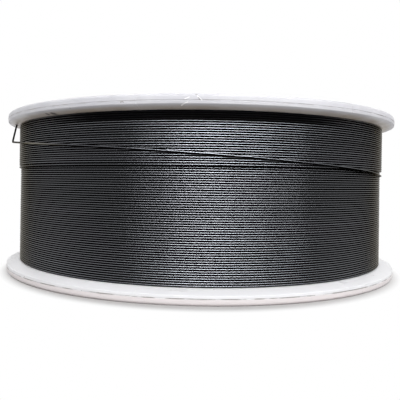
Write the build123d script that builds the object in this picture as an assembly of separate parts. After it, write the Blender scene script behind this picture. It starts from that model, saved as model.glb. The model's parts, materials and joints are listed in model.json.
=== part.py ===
from build123d import *
import math
import os

# A plastic spool of welding wire, lying on one flange.
# The axis is Z and the origin is the middle of the lower outer face. The front is -Y.
# Lengths are in millimetres. Angles are in degrees, counted from the front towards the left (-X).

# Spool, overall
flange_diameter = 270.0
overall_width = 103.0

# Spool, flanges
flange_thickness = 7.1
web_thickness = 3.6
rim_wall = 4.0
rim_draft = 0.4
rim_edge_radius = 2.2
rim_edge_flat_count = 3
shoulder_width = 8.0
shoulder_rise = 1.8
flange_rib_count = 16
flange_rib_thickness = 2.4
rib_setback = 0.6

# Spool, barrel and hub
barrel_wall = 3.0
bore_diameter = 51.5
bore_chamfer = 1.0
hub_wall = 4.0
hub_rib_count = 8
hub_rib_thickness = 2.6
drive_hole_diameter = 10.5
drive_hole_offset = 44.5
drive_boss_wall = 3.0

# Wire, wound in layers with the outermost one unfinished
wire_diameter = 1.2
winding_clearance = 0.1
winding_margin = 8.4
winding_depth = 41.5
outer_layer_width = 29.8
outer_edge_fall = 4.2
outer_edge_high_angle = 30.0

# Wire end, from the winding to the hole in the upper flange
end_emerge_angle = -66.0
end_crest_angle = -50.0
end_hole_angle = 71.3
end_free_angle = 14.5
end_rise = 20.4577
end_bend_depth = 11.0
end_bed = 0.3
end_bend_radius = 1.5
end_hook_length = 8.0
end_hook_lift = 0.3
end_hole_clearance = 1.4
end_hole_gap = 0.3
end_side_count = 8

# Levels, from the floor up
middle = overall_width / 2
top = overall_width
inner_face = top - flange_thickness
web_face = inner_face + web_thickness
shoulder_top = inner_face + shoulder_rise
parting_level = (inner_face + top) / 2
winding_low = flange_thickness + winding_clearance
winding_high = inner_face - winding_clearance
outer_edge = inner_face - outer_layer_width

# Radii, from the axis outwards
bore_radius = bore_diameter / 2
hub_radius = bore_radius + hub_wall
flange_radius = flange_diameter / 2
full_layer_radius = flange_radius - winding_margin
winding_inner = full_layer_radius - winding_depth
barrel_radius = winding_inner - winding_clearance
barrel_inner = barrel_radius - barrel_wall
rim_inner = flange_radius - rim_wall
shoulder_inner = flange_radius - shoulder_width
wire_radius = wire_diameter / 2
layer_step = wire_diameter * math.sqrt(3) / 2
outer_layer_radius = full_layer_radius + layer_step
end_hole_radius = (wire_diameter + end_hole_clearance) / 2
end_hole_place = rim_inner - end_hole_gap - end_hole_radius


def around(angle, radius, height):
    """Point at an angle from the front, a radius from the axis and a height above the floor."""
    turn = math.radians(-90 - angle)
    return Vector(radius * math.cos(turn), radius * math.sin(turn), height)


def tube(outer, inner, low, high):
    """Round tube on the axis between two heights."""
    wall = Circle(outer) - Circle(inner)
    return extrude(Pos(0, 0, low) * wall, high - low)


def radial_ribs(count, thickness, inner, outer, low, high):
    """Straight ribs that run out from the axis, the first along +X."""
    rib = Pos((inner + outer) / 2, 0, (low + high) / 2) * Box(outer - inner, thickness, high - low)
    return [Rot(0, 0, 360 / count * place) * rib for place in range(count)]


def rim_edge():
    """Points along the rim's rounded outer edge, from its flat face to its side."""
    centre_radius = flange_radius - rim_draft - rim_edge_radius
    centre_height = top - rim_edge_radius
    points = []
    for step in range(rim_edge_flat_count + 1):
        turn = math.pi / 2 * (1 - step / rim_edge_flat_count)
        points.append((centre_radius + rim_edge_radius * math.cos(turn),
                       centre_height + rim_edge_radius * math.sin(turn)))
    return points


def half_shell():
    """Upper flange and the upper half of the barrel, turned from their section."""
    outline = Polyline(
        (barrel_inner, middle),
        (barrel_inner, top),
        (barrel_radius, top),
        (barrel_radius, web_face),
        (rim_inner, web_face),
        (rim_inner, top),
        *rim_edge(),
        (flange_radius, parting_level),
        (flange_radius - rim_draft, shoulder_top),
        (shoulder_inner, inner_face),
        (barrel_radius, inner_face),
        (barrel_radius, middle),
        close=True,
    )
    shell = revolve(make_face(Plane.XZ * outline), Axis.Z)
    barrel_middle = barrel_radius - barrel_wall / 2
    rim_middle = flange_radius - rim_wall / 2
    web_middle = web_face - web_thickness / 2
    ribs = radial_ribs(flange_rib_count, flange_rib_thickness, barrel_middle, rim_middle,
                       web_middle, top - rib_setback)
    return shell + ribs


def hub():
    """Hub tube with a chamfered bore, the ribs that carry it and the boss of the drive hole."""
    mouth_radius = bore_radius + bore_chamfer
    outline = Polyline(
        (mouth_radius, 0),
        (hub_radius, 0),
        (hub_radius, top),
        (mouth_radius, top),
        (bore_radius, top - bore_chamfer),
        (bore_radius, bore_chamfer),
        close=True,
    )
    sleeve = revolve(make_face(Plane.XZ * outline), Axis.Z)
    hub_middle = hub_radius - hub_wall / 2
    barrel_middle = barrel_radius - barrel_wall / 2
    ribs = radial_ribs(hub_rib_count, hub_rib_thickness, hub_middle, barrel_middle,
                       rib_setback, top - rib_setback)
    boss_radius = drive_hole_diameter / 2 + drive_boss_wall
    boss = Pos(drive_hole_offset, 0, middle) * Cylinder(boss_radius, overall_width)
    drive_hole = Pos(drive_hole_offset, 0, middle) * Cylinder(drive_hole_diameter / 2, overall_width)
    bore = Pos(0, 0, middle) * Cylinder(bore_radius, overall_width)
    return sleeve + (ribs + [boss - bore]) - drive_hole


def spool():
    """One moulding: two flanges, the barrel between them and the hub inside it."""
    upper = half_shell()
    lower = mirror(upper, about=Plane.XY.offset(middle))
    hole_place = around(end_hole_angle, end_hole_place, (inner_face + top) / 2)
    end_hole = Pos(*hole_place) * Cylinder(end_hole_radius, top - inner_face)
    return upper + lower + hub() - end_hole


def winding():
    """The turns as one turned solid, with the step where the outermost layer stops."""
    full_layers = tube(full_layer_radius, winding_inner, winding_low, winding_high)
    layer_low = outer_edge - outer_edge_fall
    layer = tube(outer_layer_radius, winding_inner, layer_low, winding_high)
    uphill = around(outer_edge_high_angle, outer_layer_radius, outer_edge_fall / 2)
    level = around(outer_edge_high_angle - 90, outer_layer_radius, 0)
    edge_plane = Plane((0, 0, outer_edge), x_dir=level, z_dir=uphill.cross(level))
    return full_layers + split(layer, edge_plane, keep=Keep.TOP)


def wire_end():
    """The free end: over the turns to the left, off them, up through the flange and bent over."""
    bed_radius = outer_layer_radius + wire_radius - end_bed
    buried_radius = full_layer_radius - wire_diameter
    leave_angle = end_hole_angle - end_free_angle
    bend_height = inner_face - end_bend_depth

    def height_at(angle):
        share = (end_hole_angle - angle) / (end_hole_angle - end_emerge_angle)
        return bend_height - end_rise * share

    crossing_middle = (end_crest_angle + leave_angle) / 2
    crossing_angles = (end_crest_angle, crossing_middle, leave_angle)
    crossing = ThreePointArc(*[around(angle, bed_radius, height_at(angle)) for angle in crossing_angles])
    emerging = around(end_emerge_angle, buried_radius, height_at(end_emerge_angle))
    climb = TangentArc(crossing @ 0, emerging, tangent=-(crossing % 0))

    free_run = bed_radius * math.tan(math.radians(end_free_angle))
    corner = crossing @ 1 + (crossing % 1) * free_run
    web_middle = (inner_face + web_face) / 2
    in_hole = around(end_hole_angle, end_hole_place, web_middle)
    hook_height = web_face + end_hook_lift + wire_radius
    rise = (in_hole - corner) * ((hook_height - corner.Z) / (in_hole.Z - corner.Z))
    hook = corner + rise
    inwards = around(end_hole_angle, -1, 0)
    free = FilletPolyline(crossing @ 1, corner, hook, hook + inwards * end_hook_length,
                          radius=end_bend_radius)

    path = Wire(climb.edges() + crossing.edges() + free.edges())
    flats = RegularPolygon(wire_radius, end_side_count, major_radius=False)
    section = Plane(path @ 0, z_dir=path % 0) * flats
    return sweep(section, path)


os.makedirs("parts", exist_ok=True)
export_step(spool(), "parts/spool.step")
export_step(winding() + wire_end(), "parts/wire.step")
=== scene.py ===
import json
import math

import bmesh
import bpy
from mathutils import Matrix, Vector, noise


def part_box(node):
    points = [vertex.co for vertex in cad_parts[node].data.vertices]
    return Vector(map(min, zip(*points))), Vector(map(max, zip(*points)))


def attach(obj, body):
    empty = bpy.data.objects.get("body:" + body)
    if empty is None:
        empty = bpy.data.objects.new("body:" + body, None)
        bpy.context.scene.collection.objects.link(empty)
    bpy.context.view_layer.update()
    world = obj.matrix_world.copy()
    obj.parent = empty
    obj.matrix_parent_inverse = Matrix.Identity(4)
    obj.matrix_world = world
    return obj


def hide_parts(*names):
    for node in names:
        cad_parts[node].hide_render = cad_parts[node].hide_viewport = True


# A plastic spool of welding wire, lying on one flange in a white studio.
# The axis is Z and the front is -Y. Lengths are in metres.
# Angles round the axis are in degrees, counted from the front towards the left (-X).

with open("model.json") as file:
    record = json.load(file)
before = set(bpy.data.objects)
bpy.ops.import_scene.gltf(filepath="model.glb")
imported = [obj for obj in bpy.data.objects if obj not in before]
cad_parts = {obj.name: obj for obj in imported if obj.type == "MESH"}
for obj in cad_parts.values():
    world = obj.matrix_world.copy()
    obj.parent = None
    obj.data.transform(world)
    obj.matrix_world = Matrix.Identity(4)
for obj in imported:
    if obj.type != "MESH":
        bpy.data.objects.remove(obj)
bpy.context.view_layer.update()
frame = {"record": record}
spool_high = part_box("spool")[1]
wire_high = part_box("wire")[1]
mounts = {mount["name"]: mount for mount in frame["record"]["mounts"]}
mm = 0.001

# Spool, read from the frame
flange_radius = min(spool_high.x, spool_high.y)
top = spool_high.z
middle = top / 2
bore_radius = mounts["arbor_bore"]["dims"]["r_mm"] * mm
drive_hole_radius = mounts["drive_hole"]["dims"]["r_mm"] * mm
drive_hole_offset = mounts["drive_hole"]["pos_m"][0]

# Spool, flanges
flange_thickness = 7.1 * mm
web_thickness = 3.6 * mm
rim_wall = 4.0 * mm
rim_draft = 0.15 * mm
shoulder_width = 8.0 * mm
shoulder_rise = 1.8 * mm
flange_rib_count = 16
flange_rib_thickness = 2.4 * mm
rib_setback = 0.6 * mm
parting_depth = 0.22 * mm
parting_width = 0.5 * mm
witness_angles = (13.4, -37.0)
witness_width = 0.4 * mm
witness_proud = 0.18 * mm

# Spool, barrel and hub
barrel_radius = 85.0 * mm
barrel_wall = 3.0 * mm
bore_chamfer = 1.0 * mm
hub_wall = 4.0 * mm
hub_rib_count = 8
hub_rib_thickness = 2.6 * mm
drive_boss_wall = 3.0 * mm

# Spool, rounding of its edges
rim_edge_radius = 1.8 * mm
rim_inner_edge_radius = 1.0 * mm
rim_lower_edge_radius = 0.5 * mm
shoulder_edge_radius = 6.0 * mm
root_radius = 0.8 * mm
edge_radius = 0.6 * mm

# Wire
wire_radius = 0.6 * mm
turn_pitch = 1.208 * mm
winding_clearance = 0.1 * mm
layer_step = wire_radius * math.sqrt(3)
outer_layer_radius = wire_high.x - wire_radius
full_layer_radius = outer_layer_radius - layer_step
last_turn_front = middle + 17.0 * mm
last_turn_droop = 1.8 * mm
core_sink = 0.25 * mm
step_angle = 180
step_share = 0.12

# Wire, how its turns stray
# A wave is its size in the noise, its shift from turn to turn and its shift from layer to layer.
turn_wander = 0.05 * mm
turn_sink = 0.07 * mm
slow_wave = (1.4, 0.73, 40)
fine_wave = (4.0, 1.31, 70)
fine_share = 0.6
sink_scale = 1.3
sink_offset = Vector((9, 0, 0))

# Wire end, from the winding to the hole in the upper flange
end_emerge_angle = -66.0
end_blend_angle = 12.0
end_crest_angle = -50.0
end_leave_angle = 56.8
end_hole_angle = 71.3
end_front_height = middle + 22.8 * mm
end_rise_per_degree = 0.139 * mm
end_rise_gain = 0.000074 * mm
end_bed = 0.3 * mm
end_bend_depth = 11.0 * mm
end_bend_radius = 1.5 * mm
end_hook_length = 8.0 * mm
end_hook_lift = 0.3 * mm
end_hole_radius = 1.3 * mm
end_hole_place = 129.4 * mm

# Mesh fineness
lathe_segments = 240
arc_steps = 5
hole_segments = 48
turn_segments = 144
wire_sides = 12
sharp_angle = 32
cut_overrun = 1.0 * mm

# Levels and radii that follow from these
inner_face = top - flange_thickness
web_face = inner_face + web_thickness
shoulder_top = inner_face + shoulder_rise
parting_level = (inner_face + top) / 2
winding_low = flange_thickness + winding_clearance
winding_high = inner_face - winding_clearance
barrel_inner = barrel_radius - barrel_wall
rim_inner = flange_radius - rim_wall
shoulder_inner = flange_radius - shoulder_width
hub_radius = bore_radius + hub_wall
lower_layer_top = last_turn_front + turn_pitch

# Looks of the plastic
# A noise is its scale, detail and roughness. A range is what a ramp goes between, then what it gives.
plastic_white = (0.92, 0.92, 0.93, 1)
# Greyer white of the upper flange: mottled dust and painted shade.
plastic_dusty_shaded = (0.64, 0.64, 0.675, 1)
mottle_noise = (45.0, 4.0)
mottle_range = (0.35, 0.65, 0.7, 1.0)
dust_and_shade_below = 0.12
# Pinkish tint of the lower lip: painted bounce light.
lip_bounce_colour = (0.93, 0.875, 0.87, 1)
# Tan colour under the upper flange: a film and painted shade.
film_and_shade_colour = (0.45, 0.395, 0.33, 1)
film_and_shade_start = inner_face + 0.3 * shoulder_rise
gloss_scale = 120.0
gloss_range = (0.3, 0.7, 0.34, 0.46)
grain_noise = (700.0, 2.0)
grain_strength = 0.08
grain_depth = 0.3 * mm

# Scuffs and specks on the plastic
scuff_colour = (0.55, 0.54, 0.55, 1)
scuff_stretch = (60.0, 60.0, 900.0)
scuff_noise = (1.0, 5.0, 0.6)
scuff_range = (0.58, 0.68)
scuff_patch_scale = 25.0
scuff_patch_range = (0.5, 0.62)
scuff_strength = 0.35
speck_noise = (420.0, 1.0)
speck_range = (0.76, 0.8)
speck_strength = 0.6

# Grime in the parting lines
grime_colour = (0.24, 0.21, 0.19, 1)
grime_noise = (110.0, 4.0)
grime_range = (0.4, 0.6, 0.1, 0.75)
grime_width_range = (0.3 * parting_width, 0.75 * parting_width, 1.0, 0.0)
grime_depth_range = (flange_radius - 3 * parting_depth, flange_radius - 1.5 * parting_depth)
grime_above = 0.45
soiled_end_range = (0.7 * flange_radius, 0.9 * flange_radius)

# Dark spots under the upper rim, each with its angle, radius and size
spot_colour = (0.04, 0.028, 0.024, 1)
spot_noise_scale = 900.0
spot_fade = 1.5
spot_strength = 0.9
grime_spots = ((38.4, 129.3 * mm, 2.7 * mm), (40.6, 130.0 * mm, 1.8 * mm))

# Scratches on the upper rim, each with its colour and the angle and height of both ends
scratch_pale = (0.98, 0.98, 0.99, 1)
scratch_dark = (0.34, 0.33, 0.34, 1)
scratch_width = 0.3 * mm
scratch_strength = 0.9
scratches = (
    (scratch_pale, (3.8, 97.1 * mm), (2.4, 98.4 * mm)),
    (scratch_pale, (3.0, 99.9 * mm), (2.1, 100.8 * mm)),
    (scratch_pale, (0.4, 101.3 * mm), (-0.5, 99.4 * mm)),
    (scratch_dark, (0.2, 100.5 * mm), (-0.1, 99.6 * mm)),
    (scratch_dark, (0.8, 102.1 * mm), (0.5, 102.1 * mm)),
)

# Looks of the wire
steel_dark = (0.242, 0.249, 0.268, 1)
steel_bright = (0.342, 0.354, 0.383, 1)
steel_edge = (0.52, 0.5, 0.45, 1)
steel_crossing = (0.3, 0.295, 0.27, 1)
# Grooves between the turns: painted shade, near black, lifted at the sides and low down.
groove_shade = (0.005, 0.005, 0.0055, 1)
groove_shade_lifted = (0.022, 0.022, 0.023, 1)
groove_shade_edge = (0.34, 0.32, 0.28, 1)
streak_stretch = (90.0, 22.0, 1.0)
streak_noise = (1.0, 4.0, 0.65)
streak_share = 0.12
length_stretch = (6.0, 0.0, 1.0)
length_noise = (1.0, 3.0, 0.6)
tone_range = (0.36, 0.64)
# Crests of the lower layer a little darker than those of the outer layer.
lower_layer_darker_range = (lower_layer_top - 2 * turn_pitch, lower_layer_top, 0.12, 0.0)
# Crest band that faces outwards, leaning up to where the key lamps are reflected: rubbed steel and painted
# highlight.
lit_crest_lean = (0, 0, 0.38)
rubbed_and_lit_crest_range = (0.95, 0.985)
# Turns close under the upper flange: painted shadow of the flange.
flange_shadow_range = (winding_high - 5.6 * mm, winding_high - 4.4 * mm, 0.0, 0.97)
frontal_range = (0.66, 0.86)
proud_range = (outer_layer_radius + 1.05 * wire_radius, outer_layer_radius + 1.3 * wire_radius)
at_left_range = (-0.78, -0.5, 1.0, 0.0)
on_turns_range = (-0.6, -0.48, 1.0, 0.0)
polish_range = (0.3, 0.7, 0.255, 0.27)
drawn_stretch = (40.0, 60.0, 1.0)
drawn_noise = (1.0, 3.0)
drawn_strength = 0.01
drawn_depth = 0.03 * mm

# Stage
floor_size = 30.0
floor_colour = (0.5, 0.49, 0.485, 1)
shadow_stretch = (1.0, 0.95, 1.0)
shadow_near = flange_radius - 6 * mm
shadow_far = flange_radius + 5 * mm
wall_colour = (1, 1, 1, 1)
wall_level = 1.0
ceiling_level = 0.14
fill_level = 0.37
room_range = (0.0, 0.85, wall_level, ceiling_level)
back_wall_range = (0.4, 0.75, wall_level, ceiling_level)
behind_range = (0.74, 0.86)

# Lamps, each with its name, azimuth, elevation, distance, width and height, radiance and colour
key_colour = (0.98, 0.98, 1.0)
lamps = (
    ("key_narrow", 7, 43, 1.2, (0.5, 0.3), 4.8, key_colour),
    ("key_middle", 13, 43, 1.21, (1.1, 0.3), 4.6, key_colour),
    ("key_wide", 15, 43, 1.22, (2.2, 0.3), 3.4, key_colour),
    ("rear_right", 140, 64, 1.4, (1.2, 0.6), 1.3, (1.0, 0.98, 0.95)),
    ("rear_left", -140, 64, 1.4, (1.2, 0.6), 1.3, (1.0, 0.97, 0.92)),
    ("overhead", 0, 88, 1.3, (0.6, 0.6), 1.2, (1.0, 1.0, 1.0)),
)

# Camera, with its turns in radians and its lens and sensor in millimetres
camera_place = Vector((0.0, -0.37633, 0.06017))
camera_yaw = 0.0304
camera_roll = 0.0141
camera_lens = 45.19
camera_sensor = 36.0
camera_shift = (0.0423, -0.0467)
camera_nearest = 10 * mm


def around(angle, radius, height):
    """Point at an angle from the front, a radius from the axis and a height above the floor."""
    turn = math.radians(-90 - angle)
    return Vector((radius * math.cos(turn), radius * math.sin(turn), height))


def smooth_step(low, high, value):
    """0 below low, 1 above high, and a smooth rise between them."""
    share = min(max((value - low) / (high - low), 0), 1)
    return share * share * (3 - 2 * share)


def new_object(name, data):
    """Object in the scene that shows a mesh, a light or a camera."""
    piece = bpy.data.objects.new(name, data)
    bpy.context.scene.collection.objects.link(piece)
    return piece


def rounded(corners):
    """Points along a line of (corner, radius) pairs, with each corner rounded to its radius."""
    points = []
    for place, (corner, radius) in enumerate(corners):
        if radius == 0:
            points.append(corner)
            continue
        before = (corners[place - 1][0] - corner).normalized()
        after = (corners[(place + 1) % len(corners)][0] - corner).normalized()
        half = before.angle(after) / 2
        centre = corner + (before + after).normalized() * (radius / math.sin(half))
        start = corner + before * (radius / math.tan(half)) - centre
        end = corner + after * (radius / math.tan(half)) - centre
        for step in range(arc_steps + 1):
            points.append(centre + start.slerp(end, step / arc_steps) * radius)
    return points


def flat(radius, height, rounding=0.0):
    """Corner of a section, with the radius that rounds it."""
    return Vector((radius, height)), rounding


def lathe(outline, segments):
    """Ring turned round the axis from a closed outline of (radius, height) points."""
    shape = bmesh.new()
    rings = []
    for place in range(segments):
        turn = 2 * math.pi * place / segments
        rings.append([shape.verts.new((radius * math.cos(turn), radius * math.sin(turn), height))
                      for radius, height in outline])
    for ring, following in zip(rings, rings[1:] + rings[:1]):
        for this, after in zip(range(len(outline)), list(range(1, len(outline))) + [0]):
            shape.faces.new((ring[this], following[this], following[after], ring[after]))
    return shape


def prism(outline, start, end, place):
    """Bar with a closed outline of two-dimensional points as its section, along the third axis."""
    shape = bmesh.new()
    ends = [[shape.verts.new(place(point, along)) for point in outline] for along in (start, end)]
    shape.faces.new(ends[0])
    shape.faces.new(list(reversed(ends[1])))
    count = len(outline)
    for this in range(count):
        after = (this + 1) % count
        shape.faces.new((ends[0][this], ends[1][this], ends[1][after], ends[0][after]))
    return shape


def solid(name, shapes):
    """Object made of one or more closed shapes."""
    mesh = bpy.data.meshes.new(name)
    joined = bmesh.new()
    for shape in shapes:
        shape.to_mesh(mesh)
        joined.from_mesh(mesh)
        shape.free()
    bmesh.ops.recalc_face_normals(joined, faces=joined.faces)
    joined.to_mesh(mesh)
    joined.free()
    return new_object(name, mesh)


def combine(piece, tool, operation):
    """Add a tool object to a piece, or cut it out of it, and delete the tool."""
    change = piece.modifiers.new("combine", "BOOLEAN")
    change.operation = operation
    change.solver = "MANIFOLD"
    change.object = tool
    view = bpy.context.evaluated_depsgraph_get()
    mesh = bpy.data.meshes.new_from_object(piece.evaluated_get(view))
    piece.modifiers.clear()
    piece.data = mesh
    bpy.data.objects.remove(tool)


def turned(shape, angle):
    """The shape turned round the axis by an angle in degrees."""
    bmesh.ops.rotate(shape, verts=shape.verts, matrix=Matrix.Rotation(math.radians(angle), 3, "Z"))
    return shape


def upside_down(points):
    """Section points mirrored in the spool's middle plane."""
    return [Vector((point.x, top - point.y)) for point in points]


# Spool
def flange_section():
    """Section of the upper flange and the upper half of the barrel, from the bore side outwards."""
    groove = parting_width / 2
    return rounded([
        flat(barrel_inner, top, edge_radius),
        flat(barrel_radius, top, edge_radius),
        flat(barrel_radius, web_face, root_radius),
        flat(rim_inner, web_face, root_radius),
        flat(rim_inner, top, rim_inner_edge_radius),
        flat(flange_radius - rim_draft, top, rim_edge_radius),
        flat(flange_radius, parting_level + groove),
        flat(flange_radius - parting_depth, parting_level),
        flat(flange_radius, parting_level - groove),
        flat(flange_radius - rim_draft, shoulder_top, rim_lower_edge_radius),
        flat(shoulder_inner, inner_face, shoulder_edge_radius),
        flat(barrel_radius, inner_face),
    ])


def shell():
    """Both flanges and the barrel."""
    upper = flange_section()
    lower = upside_down(upper)
    return lathe(upper + list(reversed(lower)), lathe_segments)


def rib(inner, outer, thickness, low, high):
    """Rib along +X with its free edges rounded."""
    half = thickness / 2
    section = rounded([
        flat(-half, low, edge_radius),
        flat(half, low, edge_radius),
        flat(half, high, edge_radius),
        flat(-half, high, edge_radius),
    ])
    return prism(section, inner, outer, lambda point, along: (along, point.x, point.y))


def ribs(count, *sizes):
    """Ribs all round, the first along +X."""
    return [turned(rib(*sizes), 360 / count * place) for place in range(count)]


def witness(angle, level):
    """Fine ridge across a rim, where two halves of the mould met. Level turns a height over, or not."""
    outline = [
        (flange_radius - rim_draft + witness_proud, top - rim_edge_radius),
        (flange_radius + witness_proud / 2, parting_level),
        (flange_radius - rim_draft + witness_proud, shoulder_top),
        (flange_radius - rim_draft - witness_proud, shoulder_top - witness_proud),
        (shoulder_inner, inner_face - witness_proud),
        (shoulder_inner, inner_face + web_thickness / 2),
        (rim_inner + rim_wall / 2, web_face),
        (rim_inner + rim_wall / 2, top - rim_edge_radius),
    ]
    points = [Vector(point) for point in outline]
    half = witness_width / 2
    ridge = prism(points, -half, half, lambda point, along: (point.x, along, level(point.y)))
    return turned(ridge, -90 - angle)


def hub_sleeve():
    """Hub tube with a chamfered bore."""
    mouth = bore_radius + bore_chamfer
    return lathe(rounded([
        flat(mouth, 0),
        flat(hub_radius, 0, edge_radius),
        flat(hub_radius, top, edge_radius),
        flat(mouth, top),
        flat(bore_radius, top - bore_chamfer),
        flat(bore_radius, bore_chamfer),
    ]), lathe_segments)


def drive_boss():
    """Boss round the drive hole."""
    outer = drive_hole_radius + drive_boss_wall
    boss = lathe(rounded([
        flat(drive_hole_radius - edge_radius, 0),
        flat(outer, 0, edge_radius),
        flat(outer, top, edge_radius),
        flat(drive_hole_radius - edge_radius, top),
    ]), hole_segments)
    bmesh.ops.translate(boss, verts=boss.verts, vec=(drive_hole_offset, 0, 0))
    return boss


def pin(place, radius, low, high):
    """Round pin that cuts a hole."""
    shape = bmesh.new()
    bmesh.ops.create_cone(shape, cap_ends=True, segments=hole_segments, radius1=radius, radius2=radius,
                          depth=high - low)
    bmesh.ops.translate(shape, verts=shape.verts, vec=(place.x, place.y, (low + high) / 2))
    return shape


def spool():
    """The moulding: two flanges and the barrel, their ribs, the hub and its holes."""
    piece = solid("spool_moulding", [shell()])
    rim_middle = flange_radius - rim_wall / 2
    barrel_middle = barrel_radius - barrel_wall / 2
    web_middle = inner_face + web_thickness / 2
    flange_ribs = (flange_rib_count, barrel_middle, rim_middle, flange_rib_thickness)
    upper_ribs = ribs(*flange_ribs, web_middle, top - rib_setback)
    lower_ribs = ribs(*flange_ribs, rib_setback, top - web_middle)
    hub_ribs = ribs(hub_rib_count, hub_radius - hub_wall / 2, barrel_middle, hub_rib_thickness,
                    rib_setback, top - rib_setback)
    ridges = [witness(angle, level) for angle in witness_angles
              for level in (lambda height: height, lambda height: top - height)]
    for name, shapes in (("flange_ribs", upper_ribs + lower_ribs), ("hub_ribs", hub_ribs),
                         ("hub_sleeve", [hub_sleeve()]), ("drive_boss", [drive_boss()]),
                         ("witness_ridges", ridges)):
        combine(piece, solid(name, shapes), "UNION")
    drive_place = Vector((drive_hole_offset, 0, 0))
    end_place = around(end_hole_angle, end_hole_place, 0)
    holes = [pin(drive_place, drive_hole_radius, -cut_overrun, top + cut_overrun),
             pin(end_place, end_hole_radius, inner_face - cut_overrun, top + cut_overrun)]
    combine(piece, solid("holes", holes), "DIFFERENCE")
    piece.data.shade_smooth()
    piece.data.set_sharp_from_angle(angle=math.radians(sharp_angle))
    return piece


# Wire
def tube(name, path):
    """Round wire along a path, closed at both ends, with its length and girth as texture coordinates."""
    normal = Vector((path[0].x, path[0].y, 0))
    verts = []
    lengths = []
    length = 0.0
    for place, point in enumerate(path):
        before = path[max(place - 1, 0)]
        after = path[min(place + 1, len(path) - 1)]
        along = (after - before).normalized()
        normal = (normal - along * normal.dot(along)).normalized()
        across = along.cross(normal)
        length += (point - before).length
        lengths.append(length)
        for side in range(wire_sides):
            turn = 2 * math.pi * side / wire_sides
            verts.append(point + (normal * math.cos(turn) + across * math.sin(turn)) * wire_radius)
    faces = []
    girths = []
    for place in range(len(path) - 1):
        for side in range(wire_sides):
            following = (side + 1) % wire_sides
            this_ring = place * wire_sides
            next_ring = this_ring + wire_sides
            faces.append((this_ring + side, this_ring + following, next_ring + following, next_ring + side))
            girths += [(lengths[place], side), (lengths[place], side + 1),
                       (lengths[place + 1], side + 1), (lengths[place + 1], side)]
    last_ring = len(verts) - wire_sides
    for ring, order in ((0, -1), (last_ring, 1)):
        faces.append([ring + side for side in range(wire_sides)][::order])
        girths += [(lengths[ring // wire_sides], side) for side in range(wire_sides)][::order]
    mesh = bpy.data.meshes.new(name)
    mesh.from_pydata(verts, [], faces)
    coordinates = [value for along, side in girths for value in (along, side / wire_sides)]
    mesh.uv_layers.new(name="along_wire").data.foreach_set("uv", coordinates)
    mesh.shade_smooth()
    return new_object(name, mesh)


def noise_place(angle, layer, size, turn_shift, layer_shift):
    """Place in the noise for a point on a turn: on a circle that shifts along its axis with each turn."""
    turn = math.radians(angle)
    shift = angle / 360 * turn_shift + layer * layer_shift
    return Vector((math.cos(turn) * size, math.sin(turn) * size, shift))


def wander(angle, layer):
    """How far a turn strays along the axis and sinks towards it, the same at each run."""
    slow = noise_place(angle, layer, *slow_wave)
    fine = noise_place(angle, layer, *fine_wave)
    stray = noise.noise(slow) * turn_wander
    sink = (noise.noise(slow * sink_scale + sink_offset) + fine_share * noise.noise(fine)) * turn_sink
    return stray, sink


def stepped(turns):
    """Turns passed by a wire that lies level and steps over to its next turn in a short stretch."""
    whole = math.floor(turns)
    return whole + smooth_step(1 - step_share, 1, turns - whole)


def lower_layer():
    """The full layer below: turns that rise from the lower flange and pass under the outermost layer."""
    start = winding_low + wire_radius
    turns = (lower_layer_top - start) / turn_pitch
    path = []
    for step in range(round(turns * turn_segments) + 1):
        angle = 360 * step / turn_segments
        stray, sink = wander(angle, 0)
        height = start + turn_pitch * stepped(angle / 360) + stray
        path.append(around(step_angle + angle, full_layer_radius - abs(sink), height))
    return path


def end_height(angle):
    """Height of the wire end as it crosses the turns."""
    return end_front_height + end_rise_per_degree * angle + end_rise_gain * angle * angle


def outer_layer():
    """The unfinished layer, from the upper flange down, and the wire end over it to its hole."""
    turns_above = math.floor((winding_high - wire_radius - last_turn_front) / turn_pitch)
    emerge = end_emerge_angle + 360
    bed_radius = outer_layer_radius + 2 * wire_radius - end_bed
    first = -round((turns_above + step_angle / 360) * turn_segments)
    last = round((end_leave_angle + 360) / 360 * turn_segments)
    path = []
    for step in range(first, last + 1):
        angle = 360 * step / turn_segments
        end_angle = angle - 360
        stray, sink = wander(angle, 1)
        droop = last_turn_droop * max(angle, 0) / emerge
        wound = last_turn_front - turn_pitch * stepped((angle + step_angle) / 360) - droop + stray
        lifted = smooth_step(end_emerge_angle, end_crest_angle, end_angle)
        rising = smooth_step(end_emerge_angle - end_blend_angle, end_emerge_angle + end_blend_angle,
                             end_angle)
        height = wound + (end_height(end_angle) - wound) * rising
        radius = outer_layer_radius - abs(sink) * (1 - lifted) + (bed_radius - outer_layer_radius) * lifted
        path.append(around(angle, radius, height))
    return path + free_end(path[-1])


def free_end(leave):
    """Points of the wire off the turns: a straight run, up through the flange and bent over inwards."""
    run = math.radians(end_hole_angle - end_leave_angle)
    corner_radius = Vector((leave.x, leave.y)).length / math.cos(run)
    corner = around(end_hole_angle, corner_radius, inner_face - end_bend_depth)
    in_hole = around(end_hole_angle, end_hole_place, (inner_face + web_face) / 2)
    hook_height = web_face + end_hook_lift + wire_radius
    hook = corner + (in_hole - corner) * ((hook_height - corner.z) / (in_hole.z - corner.z))
    tip = hook + around(end_hole_angle, -end_hook_length, 0)
    return rounded([(leave, 0), (corner, end_bend_radius), (hook, end_bend_radius), (tip, 0)])[1:]


def winding_core():
    """The turns below the ones that show, as one ring."""
    lower = full_layer_radius - core_sink
    upper = outer_layer_radius - core_sink
    step_height = lower_layer_top - turn_pitch
    return lathe([Vector(point) for point in (
        (barrel_radius + winding_clearance, winding_low),
        (lower, winding_low),
        (lower, step_height),
        (upper, step_height),
        (upper, winding_high),
        (barrel_radius + winding_clearance, winding_high),
    )], lathe_segments)


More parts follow.
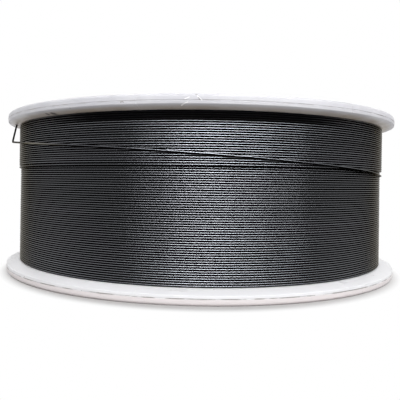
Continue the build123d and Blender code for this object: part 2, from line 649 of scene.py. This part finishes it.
# Materials
class Nodes:
    """Short way to add and join shader nodes."""

    def __init__(self, tree):
        self.tree = tree
        tree.nodes.clear()

    def add(self, kind, inputs=None, **settings):
        """New node; inputs gives a value or another node's socket for each named or numbered input."""
        node = self.tree.nodes.new(kind)
        for name, value in settings.items():
            setattr(node, name, value)
        for name, value in (inputs or {}).items():
            if isinstance(value, bpy.types.NodeSocket):
                self.tree.links.new(value, node.inputs[name])
            else:
                node.inputs[name].default_value = value
        return node

    def math(self, operation, *values, clamp=False):
        """Result of a sum on numbers or sockets."""
        node = self.add("ShaderNodeMath", dict(enumerate(values)), operation=operation, use_clamp=clamp)
        return node.outputs[0]

    def times(self, first, second):
        """Product of two numbers or sockets."""
        return self.math("MULTIPLY", first, second)

    def vector(self, operation, *values):
        """Vector that a sum on vectors gives."""
        node = self.add("ShaderNodeVectorMath", dict(enumerate(values)), operation=operation)
        return node.outputs["Vector"]

    def measure(self, operation, *values):
        """Number that a sum on vectors gives."""
        node = self.add("ShaderNodeVectorMath", dict(enumerate(values)), operation=operation)
        return node.outputs["Value"]

    def scaled(self, vector, factor):
        """Vector made longer or shorter by a factor."""
        node = self.add("ShaderNodeVectorMath", {0: vector, "Scale": factor}, operation="SCALE")
        return node.outputs["Vector"]

    def parts(self, vector):
        """The three coordinates of a vector, by name."""
        return self.add("ShaderNodeSeparateXYZ", {0: vector}).outputs

    def ramp(self, value, low, high, start=0.0, end=1.0):
        """Value taken from one range to another, smoothly, and kept inside it."""
        node = self.add("ShaderNodeMapRange", {"Value": value, "From Min": low, "From Max": high,
                                               "To Min": start, "To Max": end},
                        interpolation_type="SMOOTHSTEP")
        return node.outputs["Result"]

    def noise(self, place, scale, detail=3.0, roughness=0.5):
        """Noise at a place, from 0 to 1."""
        node = self.add("ShaderNodeTexNoise", {"Vector": place, "Scale": scale, "Detail": detail,
                                               "Roughness": roughness})
        return node.outputs["Fac"]

    def stretched(self, place, scale):
        """Place scaled differently along each axis."""
        return self.add("ShaderNodeMapping", {"Vector": place, "Scale": scale}).outputs["Vector"]

    def mix(self, share, first, second):
        """Colour between two colours, which are the node's inputs 6 and 7 and its output 2."""
        node = self.add("ShaderNodeMix", {"Factor": share, 6: first, 7: second}, data_type="RGBA")
        return node.outputs[2]

    def surface(self, looks, relief, strength, depth):
        """Surface with these looks and a fine relief, as the material's result."""
        bump = self.add("ShaderNodeBump", {"Strength": strength, "Distance": depth, "Height": relief})
        inputs = {**looks, "Normal": bump.outputs["Normal"]}
        shader = self.add("ShaderNodeBsdfPrincipled", inputs)
        self.add("ShaderNodeOutputMaterial", {"Surface": shader.outputs["BSDF"]})


class Place:
    """The point that is shaded: its coordinates, its offset from the axis and the length of that."""

    def __init__(self, nodes):
        self.point = nodes.add("ShaderNodeTexCoord").outputs["Object"]
        parts = nodes.parts(self.point)
        self.x = parts["X"]
        self.y = parts["Y"]
        self.height = parts["Z"]
        self.offset = nodes.vector("MULTIPLY", self.point, (1, 1, 0))
        self.radius = nodes.measure("LENGTH", self.offset)


def new_material(name):
    """Empty material and its nodes."""
    material = bpy.data.materials.new(name)
    material.use_nodes = True
    return material, Nodes(material.node_tree)


def dusted_and_painted_light(nodes, place):
    """White with grey dust and painted shade on the upper flange, a tan film and painted shade under it, and
    a pinkish tint of painted bounce light on the lower lip.
    """
    mottle = nodes.ramp(nodes.noise(place.point, *mottle_noise), *mottle_range)
    dust_and_shade = nodes.ramp(place.height, inner_face - shoulder_width, inner_face, dust_and_shade_below, 1.0)
    colour = nodes.mix(nodes.times(mottle, dust_and_shade), plastic_white, plastic_dusty_shaded)
    lip_bounce = nodes.ramp(place.height, top - parting_level - parting_width, top - parting_level, 1.0, 0.0)
    colour = nodes.mix(lip_bounce, colour, lip_bounce_colour)
    under = nodes.ramp(place.height, film_and_shade_start, shoulder_top, 1.0, 0.0)
    film_and_shade = nodes.times(under, nodes.ramp(place.height, inner_face - shoulder_width, inner_face))
    return nodes.mix(nodes.times(film_and_shade, mottle), colour, film_and_shade_colour)


def scuffed(nodes, place, colour):
    """Rubbed streaks, in patches round the rims."""
    streaks = nodes.noise(nodes.stretched(place.point, scuff_stretch), *scuff_noise)
    patches = nodes.ramp(nodes.noise(place.point, scuff_patch_scale), *scuff_patch_range)
    on_rim = nodes.ramp(place.radius, shoulder_inner, rim_inner)
    scuffs = nodes.times(nodes.ramp(streaks, *scuff_range), nodes.times(patches, on_rim))
    return nodes.mix(nodes.times(scuffs, scuff_strength), colour, scuff_colour)


def grimy(nodes, place, colour):
    """Broken lines of dirt in the parting lines, fainter in the upper one except at its right end."""
    from_middle = nodes.math("ABSOLUTE", nodes.math("SUBTRACT", place.height, middle))
    from_parting = nodes.math("ABSOLUTE", nodes.math("SUBTRACT", from_middle, parting_level - middle))
    in_line = nodes.ramp(from_parting, *grime_width_range)
    at_side = nodes.ramp(place.radius, *grime_depth_range)
    broken = nodes.ramp(nodes.noise(place.point, *grime_noise), *grime_range)
    rubbed_clean = nodes.ramp(place.height, middle, inner_face, 1.0, grime_above)
    soiled_end = nodes.ramp(place.x, *soiled_end_range)
    broken = nodes.times(broken, nodes.math("ADD", rubbed_clean, soiled_end, clamp=True))
    return nodes.mix(nodes.times(nodes.times(in_line, at_side), broken), colour, grime_colour)


def spotted(nodes, place, colour):
    """Ragged dark spots under the upper rim."""
    for angle, reach, size in grime_spots:
        centre = around(angle, reach, shoulder_top - shoulder_rise / 2)
        apart = nodes.measure("DISTANCE", place.point, centre)
        ragged = nodes.math("ADD", apart, nodes.times(nodes.noise(place.point, spot_noise_scale), size))
        share = nodes.ramp(ragged, size, spot_fade * size, spot_strength, 0.0)
        colour = nodes.mix(share, colour, spot_colour)
    return colour


def unrolled_place(angle, height):
    """Place on the rim's side, as if that were unrolled into a flat strip."""
    return Vector((math.radians(angle) * flange_radius, height, 0))


def line_distance(nodes, place, start, end):
    """Distance of a place from the straight line between two points."""
    run = end - start
    offset = nodes.vector("SUBTRACT", place, start)
    share = nodes.measure("DOT_PRODUCT", offset, run / run.length_squared)
    share = nodes.math("MAXIMUM", nodes.math("MINIMUM", share, 1.0), 0.0)
    return nodes.measure("DISTANCE", offset, nodes.scaled(run, share))


def scratched(nodes, place, colour):
    """Short straight scratches on the side of the upper rim."""
    left = nodes.times(place.x, -1.0)
    front = nodes.times(place.y, -1.0)
    arc = nodes.times(nodes.math("ARCTAN2", left, front), flange_radius)
    unrolled = nodes.add("ShaderNodeCombineXYZ", {"X": arc, "Y": place.height}).outputs["Vector"]
    outside = nodes.ramp(place.radius, rim_inner, rim_inner + rim_wall / 4)
    for scratch_colour, start, end in scratches:
        apart = line_distance(nodes, unrolled, unrolled_place(*start), unrolled_place(*end))
        share = nodes.ramp(apart, scratch_width / 2, scratch_width, scratch_strength, 0.0)
        colour = nodes.mix(nodes.times(share, outside), colour, scratch_colour)
    return colour


def specked(nodes, place, colour):
    """Fine specks of dirt all over."""
    specks = nodes.ramp(nodes.noise(place.point, *speck_noise), *speck_range)
    return nodes.mix(nodes.times(specks, speck_strength), colour, grime_colour)


def plastic_material():
    """White moulded plastic with painted shade and bounce light, the marks of use, uneven gloss and a slight
    grain.
    """
    material, nodes = new_material("white_plastic")
    place = Place(nodes)
    colour = dusted_and_painted_light(nodes, place)
    for mark in (scuffed, grimy, spotted, scratched, specked):
        colour = mark(nodes, place, colour)
    roughness = nodes.ramp(nodes.noise(place.point, gloss_scale), *gloss_range)
    grain = nodes.noise(place.point, *grain_noise)
    nodes.surface({"Base Color": colour, "Roughness": roughness}, grain, grain_strength, grain_depth)
    return material


def wire_material():
    """Drawn steel: lengths that differ a little, crests rubbed bright with a painted highlight band, and
    painted shade in the grooves between the turns.
    """
    material, nodes = new_material("drawn_steel")
    place = Place(nodes)
    along = nodes.add("ShaderNodeUVMap", uv_map="along_wire").outputs["UV"]
    streaks = nodes.noise(nodes.stretched(along, streak_stretch), *streak_noise)
    lengths = nodes.noise(nodes.stretched(along, length_stretch), *length_noise)
    tone = nodes.math("ADD", nodes.times(streaks, streak_share), nodes.times(lengths, 1 - streak_share))
    tone = nodes.math("SUBTRACT", tone, nodes.ramp(place.height, *lower_layer_darker_range))
    crest = nodes.mix(nodes.ramp(tone, *tone_range), steel_dark, steel_bright)

    # The bright crest band faces outwards and leans slightly up, where the key lamps are reflected: rubbed
    # steel and painted highlight. Close under the upper flange, in front and behind, it is left out as
    # painted shadow of the flange.
    level = nodes.vector("NORMALIZE", place.offset)
    outwards = nodes.vector("NORMALIZE", nodes.vector("ADD", level, lit_crest_lean))
    outward_parts = nodes.parts(outwards)
    normal = nodes.add("ShaderNodeNewGeometry").outputs["Normal"]
    facing = nodes.measure("DOT_PRODUCT", outwards, normal)
    frontal = nodes.ramp(nodes.math("ABSOLUTE", outward_parts["Y"]), *frontal_range)
    painted_flange_shadow = nodes.times(nodes.ramp(place.height, *flange_shadow_range), frontal)
    rubbed_and_lit_crest = nodes.times(nodes.ramp(facing, *rubbed_and_lit_crest_range), nodes.math("SUBTRACT", 1.0, painted_flange_shadow))

    # Painted shade in the grooves between the turns, lifted at the sides and most of all low down.
    low_down = nodes.ramp(place.height, winding_low, winding_high, 1.0, 0.0)
    shade_lift = nodes.times(low_down, nodes.math("SUBTRACT", 1.0, frontal))
    groove = nodes.mix(shade_lift, groove_shade, groove_shade_lifted)
    colour = nodes.mix(rubbed_and_lit_crest, groove, crest)
    edge = nodes.mix(rubbed_and_lit_crest, groove_shade_edge, steel_edge)

    # The wire end has one even colour where it crosses the turns at the left, in place of the painted
    # highlight and groove shade.
    proud = nodes.ramp(place.radius, *proud_range)
    at_left = nodes.ramp(outward_parts["X"], *at_left_range)
    on_turns = nodes.ramp(outward_parts["Y"], *on_turns_range)
    crossing = nodes.times(proud, nodes.times(at_left, on_turns))
    colour = nodes.mix(crossing, colour, steel_crossing)

    roughness = nodes.ramp(lengths, *polish_range)
    relief = nodes.noise(nodes.stretched(along, drawn_stretch), *drawn_noise)
    looks = {"Base Color": colour, "Metallic": 1.0, "Specular Tint": edge, "Roughness": roughness}
    nodes.surface(looks, relief, drawn_strength, drawn_depth)
    return material


# Stage, lights and camera
def seen(nodes):
    """1 for what the camera sees, straight or in a reflection, and 0 for light that falls on the object."""
    ray = nodes.add("ShaderNodeLightPath").outputs
    mirrored = nodes.math("ADD", ray["Is Glossy Ray"], ray["Is Transmission Ray"])
    return nodes.math("ADD", ray["Is Camera Ray"], mirrored, clamp=True)


def floor():
    """Pale floor that keeps the shadow at the spool's foot and is as white as the walls further out."""
    material, nodes = new_material("pale_floor")
    place = nodes.add("ShaderNodeNewGeometry").outputs["Position"]
    reach = nodes.measure("LENGTH", nodes.stretched(place, shadow_stretch))
    clear = nodes.times(nodes.ramp(reach, shadow_near, shadow_far), seen(nodes))
    matt = nodes.add("ShaderNodeBsdfDiffuse", {"Color": floor_colour})
    white = nodes.add("ShaderNodeEmission", {"Strength": wall_level})
    mixed = nodes.add("ShaderNodeMixShader", {0: clear, 1: matt.outputs[0], 2: white.outputs[0]})
    nodes.add("ShaderNodeOutputMaterial", {"Surface": mixed.outputs[0]})
    half = floor_size / 2
    corners = [(-half, -half, 0), (half, -half, 0), (half, half, 0), (-half, half, 0)]
    mesh = bpy.data.meshes.new("floor")
    mesh.from_pydata(corners, [], [(0, 1, 2, 3)])
    mesh.materials.append(material)
    piece = new_object("floor", mesh)


def surroundings():
    """Walls that are white low down and dim overhead, as seen, and an even dim light on the object."""
    world = bpy.data.worlds.new("studio")
    world.use_nodes = True
    bpy.context.scene.world = world
    nodes = Nodes(world.node_tree)
    direction = nodes.parts(nodes.add("ShaderNodeTexCoord").outputs["Generated"])
    room = nodes.ramp(direction["Z"], *room_range)
    back_wall = nodes.ramp(direction["Z"], *back_wall_range)
    behind = nodes.ramp(direction["Y"], *behind_range)
    walls = nodes.math("ADD", room, nodes.times(nodes.math("SUBTRACT", back_wall, room), behind))
    above_fill = nodes.times(nodes.math("SUBTRACT", walls, fill_level), seen(nodes))
    strength = nodes.math("ADD", above_fill, fill_level)
    light = nodes.add("ShaderNodeBackground", {"Color": wall_colour, "Strength": strength})
    nodes.add("ShaderNodeOutputWorld", {"Surface": light.outputs[0]})


def lamp(name, azimuth, elevation, distance, size, radiance, colour):
    """Rectangular lamp that faces the spool. Azimuth is counted from the front towards the right."""
    light = bpy.data.lights.new(name, "AREA")
    light.shape = "RECTANGLE"
    light.size, light.size_y = size
    light.energy = radiance * math.pi * size[0] * size[1]
    light.color = colour
    piece = new_object(name, light)
    aim = Vector((0, 0, middle))
    level = distance * math.cos(math.radians(elevation))
    piece.location = aim + around(-azimuth, level, distance * math.sin(math.radians(elevation)))
    piece.rotation_euler = (aim - piece.location).to_track_quat("-Z", "Y").to_euler()
    piece.visible_camera = False


def camera():
    """Camera close in front, just above the spool's middle."""
    lens = bpy.data.cameras.new("camera")
    lens.lens = camera_lens
    lens.sensor_width = camera_sensor
    lens.shift_x, lens.shift_y = camera_shift
    lens.clip_start = camera_nearest
    piece = new_object("camera", lens)
    piece.matrix_world = (Matrix.Translation(camera_place) @ Matrix.Rotation(camera_yaw, 4, "Z")
                          @ Matrix.Rotation(math.pi / 2, 4, "X") @ Matrix.Rotation(camera_roll, 4, "Z"))
    bpy.context.scene.camera = piece


def dress(piece, node, material):
    """Give a piece its material, hide the node it stands for and put it under the root body."""
    piece.data.materials.clear()
    piece.data.materials.append(material)
    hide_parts(node)
    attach(piece, "root")


steel = wire_material()
dress(spool(), "spool", plastic_material())
dress(solid("winding_core", [winding_core()]), "wire", steel)
dress(tube("lower_layer", lower_layer()), "wire", steel)
dress(tube("outer_layer", outer_layer()), "wire", steel)
floor()
surroundings()
for values in lamps:
    lamp(*values)
camera()
bpy.context.scene.view_settings.view_transform = "Standard"
